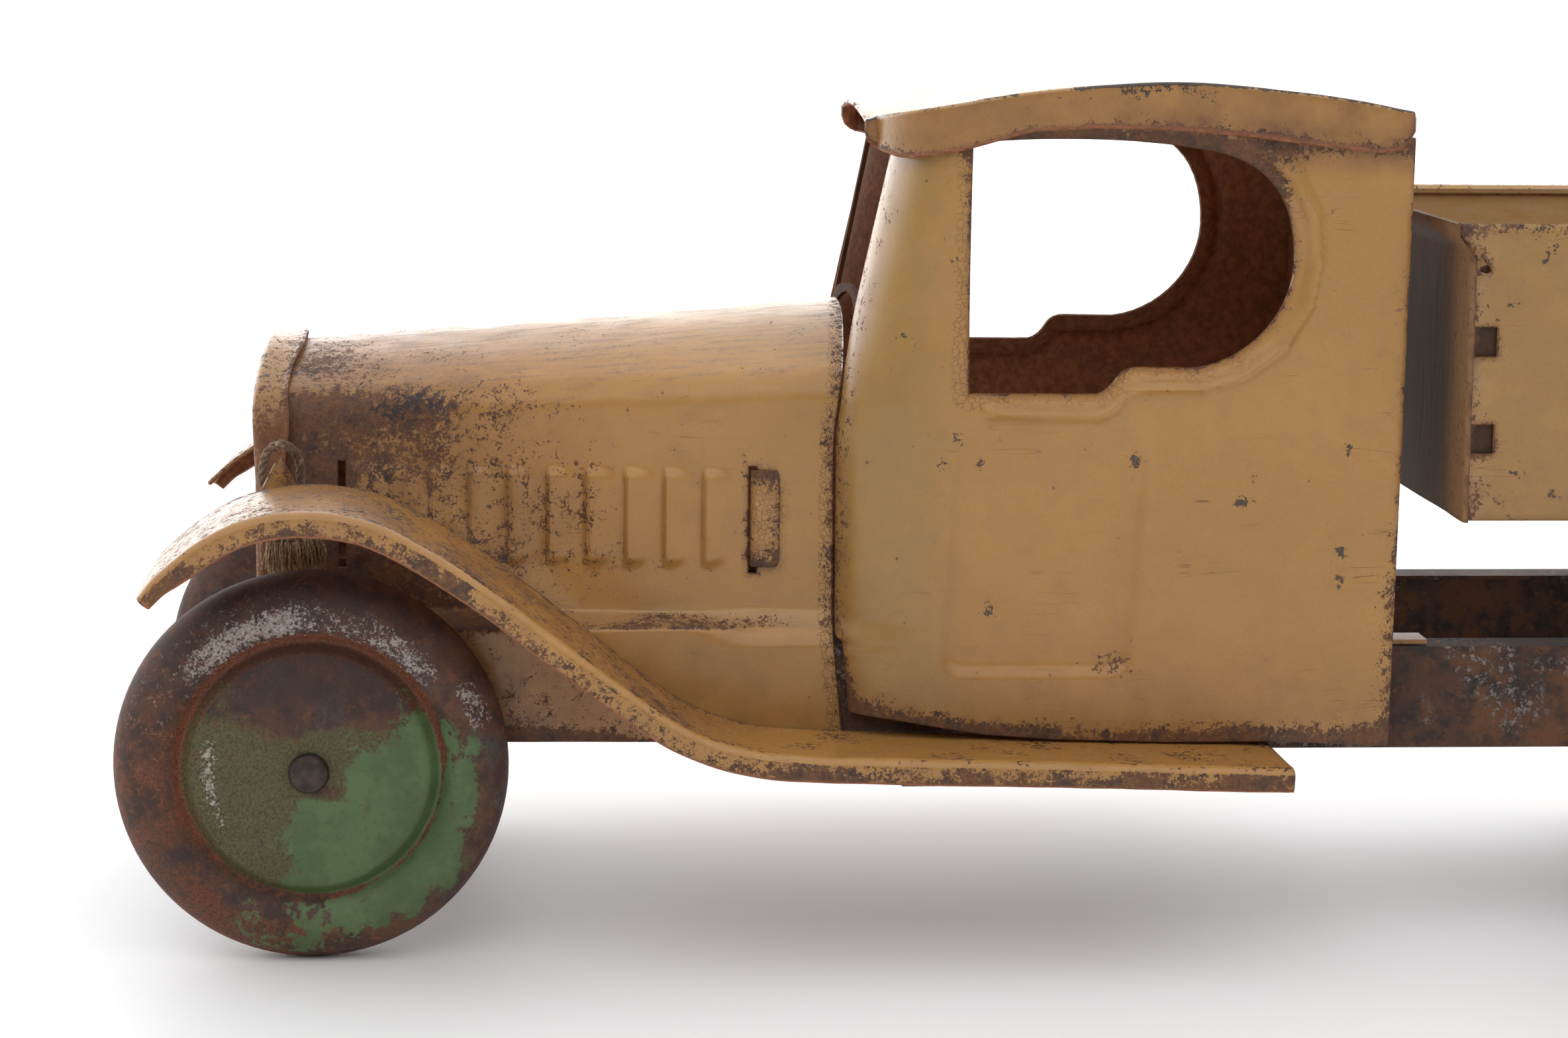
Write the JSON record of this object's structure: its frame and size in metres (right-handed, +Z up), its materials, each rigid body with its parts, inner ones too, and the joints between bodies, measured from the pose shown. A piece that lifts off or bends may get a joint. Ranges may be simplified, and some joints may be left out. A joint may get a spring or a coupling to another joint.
{
  "type": "push-along toy truck",
  "caption": "Pressed-steel toy truck with louvred hood, open-windowed cab, sweeping fenders with running boards, disc wheels and a tipping load bed with a hinged tailgate.",
  "frame": {"origin": "middle of the footprint, on the floor", "axes": "+X from the nose to the tail, +Y from the truck's left side to its right side, +Z up"},
  "size_m": [0.6066, 0.208, 0.2267],
  "materials": {
    "body_paint": "worn semi-gloss ochre enamel with rust along the edges",
    "wheel_paint": "flaking green enamel over dark rust",
    "rusted_steel": "brown rusted steel with remains of paint",
    "bare_steel": "bare dark steel, streaked",
    "grille_steel": "rusted painted steel",
    "axle_steel": "dull tarnished steel",
    "rivet_steel": "purple-brown oxidised steel",
    "rope_fibre": "matt frayed natural fibre"
  },
  "bodies": {
    "chassis": {"bed_rest": "rusted_steel", "board_strap_front_left": "rusted_steel", "board_strap_front_right": "rusted_steel", "board_strap_rear_left": "rusted_steel", "board_strap_rear_right": "rusted_steel", "cab_rear_wall": "body_paint", "cab_roof": "body_paint", "cab_side_left": "body_paint", "cab_side_right": "body_paint", "chassis_rail_left": "rusted_steel", "chassis_rail_right": "rusted_steel", "fender_left": "body_paint", "fender_right": "body_paint", "fender_stay_left": "body_paint", "fender_stay_right": "body_paint", "front_axle": "axle_steel", "front_axle_bracket_left": "rusted_steel", "front_axle_bracket_right": "rusted_steel", "front_crossmember": "rusted_steel", "front_left_wheel_rivet": "rivet_steel", "front_right_wheel_rivet": "rivet_steel", "hood_shell": "body_paint", "hood_tab_left": "body_paint", "hood_tab_right": "body_paint", "middle_crossmember": "rusted_steel", "pull_rope": "rope_fibre", "radiator_grille": "grille_steel", "radiator_shell": "body_paint", "rear_axle": "axle_steel", "rear_axle_bracket_left": "rusted_steel", "rear_axle_bracket_right": "rusted_steel", "rear_crossmember": "rusted_steel", "rear_left_wheel_rivet": "rivet_steel", "rear_right_wheel_rivet": "rivet_steel", "tip_hinge_bracket_left": "rusted_steel", "tip_hinge_bracket_right": "rusted_steel", "tip_hinge_rod": "axle_steel", "windshield_frame": "body_paint"},
    "front_left_wheel": {"front_left_wheel_disc_inner": "wheel_paint", "front_left_wheel_disc_outer": "wheel_paint", "front_left_wheel_hub": "axle_steel"},
    "front_right_wheel": {"front_right_wheel_disc_inner": "wheel_paint", "front_right_wheel_disc_outer": "wheel_paint", "front_right_wheel_hub": "axle_steel"},
    "rear_left_wheel": {"rear_left_wheel_disc_inner": "wheel_paint", "rear_left_wheel_disc_outer": "wheel_paint", "rear_left_wheel_hub": "axle_steel"},
    "rear_right_wheel": {"rear_right_wheel_disc_inner": "wheel_paint", "rear_right_wheel_disc_outer": "wheel_paint", "rear_right_wheel_hub": "axle_steel"},
    "bed": {"bed_floor": "rusted_steel", "bed_front_wall": "bare_steel", "bed_side_left": "body_paint", "bed_side_right": "body_paint", "bed_sill_left": "rusted_steel", "bed_sill_right": "rusted_steel", "tailgate_rod": "axle_steel"},
    "tailgate": {"tailgate": "body_paint"}
  },
  "joints": [
    {"name": "front_left_wheel_spin", "type": "hinge", "parent": "chassis", "child": "front_left_wheel", "pos_m": [-0.25275, -0.074, 0.0505], "axis": [0, 1, 0], "continuous": true},
    {"name": "front_right_wheel_spin", "type": "hinge", "parent": "chassis", "child": "front_right_wheel", "pos_m": [-0.25275, 0.074, 0.0505], "axis": [0, 1, 0], "continuous": true},
    {"name": "rear_left_wheel_spin", "type": "hinge", "parent": "chassis", "child": "rear_left_wheel", "pos_m": [0.17225, -0.074, 0.0505], "axis": [0, 1, 0], "continuous": true},
    {"name": "rear_right_wheel_spin", "type": "hinge", "parent": "chassis", "child": "rear_right_wheel", "pos_m": [0.17225, 0.074, 0.0505], "axis": [0, 1, 0], "continuous": true},
    {"name": "bed_tip", "type": "hinge", "parent": "chassis", "child": "bed", "pos_m": [0.27525, 0, 0.097], "axis": [0, 1, 0], "range_deg": [0, 45]},
    {"name": "tailgate_swing", "type": "hinge", "parent": "bed", "child": "tailgate", "pos_m": [0.29885, 0, 0.1835], "axis": [0, -1, 0], "range_deg": [0, 90]}
  ]
}
